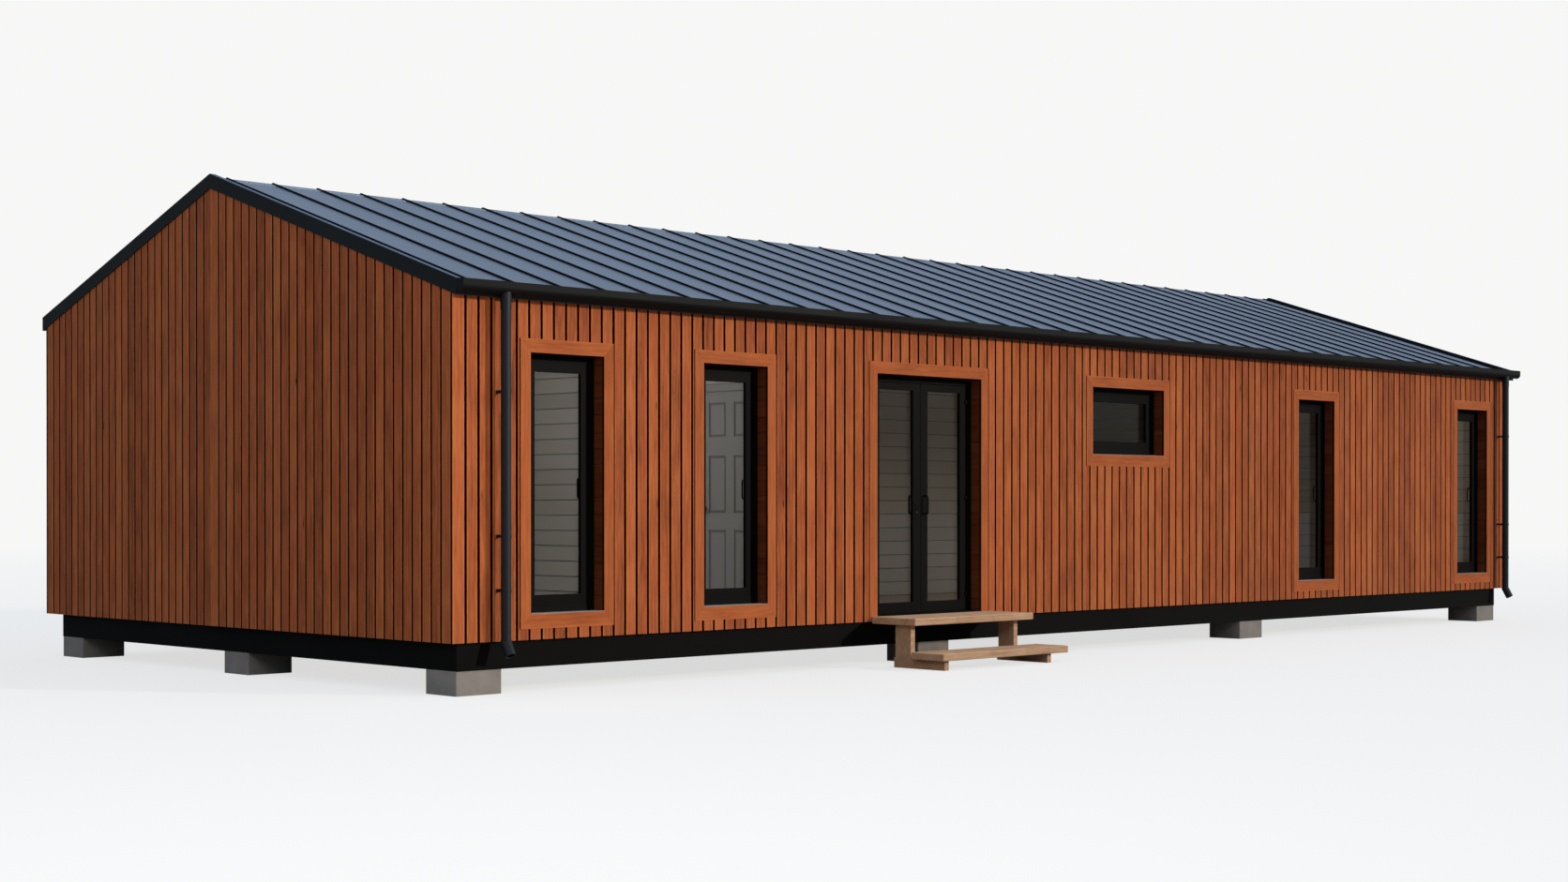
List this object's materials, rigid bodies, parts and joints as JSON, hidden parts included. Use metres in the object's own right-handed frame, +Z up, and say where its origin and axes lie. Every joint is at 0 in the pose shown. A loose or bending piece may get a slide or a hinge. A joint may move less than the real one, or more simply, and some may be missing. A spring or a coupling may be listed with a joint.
{
  "type": "mobile home",
  "caption": "Long gabled mobile home on blocks, clad in upright timber battens, with a standing-seam metal roof, dark gutters, glazed double door and timber steps.",
  "frame": {"origin": "middle of the whole footprint, steps and gutters included, on level ground", "axes": "+X along the long front wall, to the right as seen from the door side; +Y from the front to the back; +Z up"},
  "size_m": [16.82, 7.8841, 4.435],
  "materials": {
    "cladding_timber": "oiled larch battens, satin, with fine grain",
    "surround_timber": "oiled larch boards with mitred corners",
    "roof_metal": "blue-grey coated sheet, satin",
    "dark_trim": "anthracite coating, satin",
    "frame_black": "black window profile, fine satin",
    "clear_glass": "clear double glazing",
    "handle_black": "black coated bar",
    "concrete": "cast concrete, matt and slightly pitted",
    "chassis_paint": "black paint, smooth",
    "step_timber": "rough weathered timber",
    "floor_board": "boarded floor, satin",
    "lined_wall": "framed wall lined with painted boards",
    "door_paint": "white painted timber, satin",
    "knob_metal": "satin nickel knob",
    "roof_panel": "insulated roof panel with a painted underside"
  },
  "bodies": {
    "house": {"front_cladding_left": "cladding_timber", "front_cladding_over_door": "cladding_timber", "front_cladding_right": "cladding_timber", "back_cladding": "cladding_timber", "left_gable_cladding": "cladding_timber", "right_gable_cladding": "cladding_timber", "tall_window_surrounds": "surround_timber", "small_window_surrounds": "surround_timber", "door_surround": "surround_timber", "roof_sheet_front": "roof_metal", "roof_sheet_back": "roof_metal", "ridge_flashing": "roof_metal", "left_verge_trim": "dark_trim", "right_verge_trim": "dark_trim", "front_gutter": "dark_trim", "back_gutter": "dark_trim", "front_downpipes": "dark_trim", "back_downpipes": "dark_trim", "tall_window_frames": "frame_black", "small_window_frames": "frame_black", "tall_window_sashes": "frame_black", "small_window_sashes": "frame_black", "door_frame": "frame_black", "tall_window_glass": "clear_glass", "small_window_glass": "clear_glass", "foundation_blocks": "concrete", "chassis_long_beams": "chassis_paint", "chassis_end_beams": "chassis_paint", "chassis_cross_members": "chassis_paint", "upper_tread": "step_timber", "lower_tread": "step_timber", "step_supports": "step_timber", "floor_deck": "floor_board", "front_wall_left": "lined_wall", "front_wall_over_door": "lined_wall", "front_wall_right": "lined_wall", "back_wall": "lined_wall", "left_gable_wall": "lined_wall", "right_gable_wall": "lined_wall", "partition_front": "lined_wall", "partition_over_door": "lined_wall", "partition_back": "lined_wall", "spine_wall": "lined_wall", "inner_door_frame": "door_paint", "roof_deck_front": "roof_panel", "roof_deck_back": "roof_panel"},
    "left_door": {"left_door_leaf": "frame_black", "left_door_glass": "clear_glass", "left_door_handle": "handle_black"},
    "right_door": {"right_door_leaf": "frame_black", "right_door_glass": "clear_glass", "right_door_handles": "handle_black"},
    "inner_door": {"inner_door_leaf": "door_paint", "inner_door_knobs": "knob_metal"}
  },
  "joints": [
    {"name": "left_door_hinge", "type": "hinge", "parent": "house", "child": "left_door", "pos_m": [-3.548, -2.919, 1.562], "axis": [0, 0, -1], "range_deg": [0, 90]},
    {"name": "right_door_hinge", "type": "hinge", "parent": "house", "child": "right_door", "pos_m": [-2.204, -2.919, 1.562], "axis": [0, 0, 1], "range_deg": [0, 90]},
    {"name": "inner_door_hinge", "type": "hinge", "parent": "house", "child": "inner_door", "pos_m": [-4.4155, -2.2825, 1.508], "axis": [0, 0, 1], "range_deg": [0, 90]}
  ]
}
